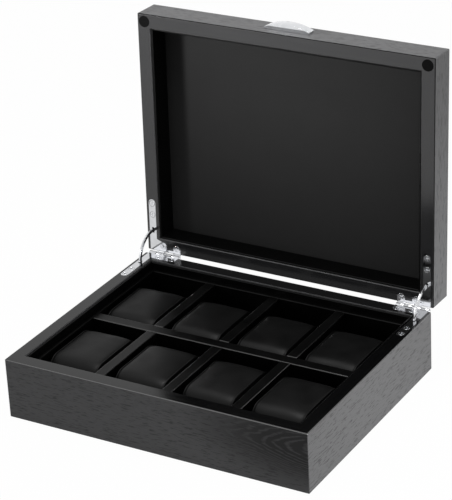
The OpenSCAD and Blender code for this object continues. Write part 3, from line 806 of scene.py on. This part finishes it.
def bright_plate(name, colour, worn, gloss):
    """Plated and buffed metal: mirror bright, with faint buffing lines 0.5 mm apart and soft
    patches where fingers have dulled it."""
    material, tree, shader, place = new_material(name, metallic=1.0)
    lines = add(tree, "Mapping", {"Vector": place, "Scale": grains(6 * MM, 0.5 * MM)})
    buffing = add(tree, "TexNoise", {"Vector": lines.outputs["Vector"], "Scale": 1.0, "Detail": 3.0})
    touch = add(tree, "TexNoise", {"Vector": place, "Scale": 1 / (5 * MM), "Detail": 2.0})
    shade = add(
        tree,
        "Mix",
        {"Factor": touch.outputs["Fac"], 6: linear(colour), 7: linear(worn)},
        data_type="RGBA",
    )
    tree.links.new(shade.outputs[2], shader.inputs["Base Color"])
    haze = add(
        tree,
        "MapRange",
        {
            "Value": touch.outputs["Fac"],
            "From Min": 0.35,
            "From Max": 0.65,
            "To Min": gloss,
            "To Max": gloss + 0.05,
        },
    )
    tree.links.new(haze.outputs["Result"], shader.inputs["Roughness"])
    bump = add(tree, "Bump", {"Height": buffing.outputs["Fac"], "Distance": 0.004 * MM})
    tree.links.new(bump.outputs["Normal"], shader.inputs["Normal"])
    return material


eased("lift_tab", bright_plate("polished_chromium_plate", "#e8e9eb", "#cfd1d4", 0.04), TAB_ROUND)

# ---- Hinges ----
# Two stay hinges of pressed steel, plated with bright nickel: on each side two leaves let in flush
# with the rims, a pin through four rolled knuckles, and a curved stay arm that stops the lid.
LEAF_ROUND = 0.35 * MM
PIN_ROUND = 0.2 * MM
ARM_ROUND = 0.3 * MM
nickel = bright_plate("bright_nickel_plate", "#d7d8da", "#c0c1c4", 0.05)
# A dark nickel on the rounded edges of the leaves and knuckles: painted shade that draws them as thin dark
# lines
painted_shade_nickel = bright_plate("nickel_painted_dark_edges", "#2e2f30", "#1d1d1e", 0.2)
for side in ("left", "right"):
    for node in ("base_leaf_", "lid_leaf_"):
        eased(node + side, nickel, LEAF_ROUND, line=painted_shade_nickel)
    eased("hinge_pin_" + side, nickel, PIN_ROUND)
    eased("stay_arm_" + side, nickel, ARM_ROUND)

# ---- Screws ----
# Countersunk cross-head wood screws in the same bright nickel. The rims of their heads are rolled
# off, so that each head is slightly domed and its recess stays sharp.
HEAD_ROLL = 0.4 * MM
HEAD_RIM_TURN = math.radians(110)
screw_nickel = bright_plate("bright_nickel_screws", "#e2e3e5", "#cccdd0", 0.08)
for node in ("base_hinge_screws", "lid_hinge_screws"):
    eased(node, screw_nickel, HEAD_ROLL, HEAD_RIM_TURN)

# ---- Studio ----
# A pale floor that keeps the object's shadow, a white surround, soft lamps at a plain level, and the
# camera at the photograph's place: 31 degrees round to the right and 26 degrees up.
FLOOR_REACH = 6
FLOOR_GLOW = 0.985
CAMERA_PLACE = (0.91355, -1.49148, 0.98394)
FOCAL_LENGTH = 161.0


def softbox(name, place, aim, size, watts, spread=180):
    """A softbox that faces the point given. spread is how wide it shines, in degrees."""
    lamp = bpy.data.lights.new(name, "AREA")
    lamp.shape = "RECTANGLE"
    lamp.size, lamp.size_y = size
    lamp.energy = watts
    lamp.spread = math.radians(spread)
    holder = bpy.data.objects.new(name, lamp)
    holder.location = place
    holder.rotation_euler = (Vector(aim) - Vector(place)).to_track_quat("-Z", "Y").to_euler()
    holder.visible_camera = False
    scene.collection.objects.link(holder)


def seen_share(tree):
    """1 for rays that come from the camera or from a glossy or clear surface, and 0 for others."""
    rays = add(tree, "LightPath").outputs
    shiny = add(tree, "Math", {0: rays["Is Glossy Ray"], 1: rays["Is Transmission Ray"]}, operation="MAXIMUM")
    seen = add(tree, "Math", {0: rays["Is Camera Ray"], 1: shiny.outputs[0]}, operation="MAXIMUM")
    return seen.outputs[0]


floor_mesh = bpy.data.meshes.new("studio_floor")
corners = [(x * FLOOR_REACH, y * FLOOR_REACH, 0) for x, y in ((-1, -1), (1, -1), (1, 1), (-1, 1))]
floor_mesh.from_pydata(corners, [], [(0, 1, 2, 3)])
floor = bpy.data.objects.new("studio_floor", floor_mesh)
scene.collection.objects.link(floor)
floor_finish, tree, shader, place = new_material("pale_paper_floor", roughness=0.9)
speck = add(tree, "TexNoise", {"Vector": place, "Scale": 1 / (3 * MM), "Detail": 2.0})
paper = add(
    tree,
    "Mix",
    {"Factor": speck.outputs["Fac"], 6: linear("#dadada"), 7: linear("#dfdfdf")},
    data_type="RGBA",
)
tree.links.new(paper.outputs[2], shader.inputs["Base Color"])
glow = add(tree, "Emission", {"Color": (1, 1, 1, 1), "Strength": 1.0})
share = add(tree, "Math", {0: seen_share(tree), 1: FLOOR_GLOW}, operation="MULTIPLY")
white = add(tree, "MixShader", {0: share.outputs[0], 1: shader.outputs[0], 2: glow.outputs[0]})
tree.links.new(white.outputs[0], tree.nodes["Material Output"].inputs["Surface"])
floor.data.materials.append(floor_finish)

world = bpy.data.worlds.new("white_surround")
scene.world = world
world.use_nodes = True
sky = world.node_tree
surround = add(
    sky,
    "Mix",
    {"Factor": seen_share(sky), 6: linear("#808080"), 7: (1, 1, 1, 1)},
    data_type="RGBA",
)
sky.links.new(surround.outputs[2], sky.nodes["Background"].inputs["Color"])

softbox("high_softbox", (0.0, -0.02, 1.15), (0, 0, 0.1), (0.5, 0.5), 7.2)
softbox("key_softbox", (-0.85, -0.65, 0.45), (-0.06, 0.12, 0.325), (0.22, 0.22), 0.65, 23)
softbox("side_softbox", (0.55, 0.0, 0.05), (0, 0, 0.03), (0.5, 0.1), 0.6, 80)
softbox("fill_softbox", (-0.7, -1.3, 0.6), (0, 0, 0.1), (0.7, 0.7), 1.5)
softbox("back_softbox", (0.5, 1.0, 0.25), (0, 0, 0.1), (0.5, 0.3), 1.6)

camera = bpy.data.objects.new("camera", bpy.data.cameras.new("camera"))
azimuth, height, roll = math.radians(31.188), math.radians(25.707), math.radians(-3.019)
back = Vector(
    (
        math.sin(azimuth) * math.cos(height),
        -math.cos(azimuth) * math.cos(height),
        math.sin(height),
    )
)
right = Vector((0, 0, 1)).cross(back).normalized()
upright = Matrix((right, back.cross(right), back)).transposed().to_4x4()
camera.matrix_world = Matrix.Translation(CAMERA_PLACE) @ upright @ Matrix.Rotation(roll, 4, "Z")
camera.data.lens = FOCAL_LENGTH
camera.data.sensor_width = 36
scene.collection.objects.link(camera)
scene.camera = camera
scene.view_settings.view_transform = "Standard"
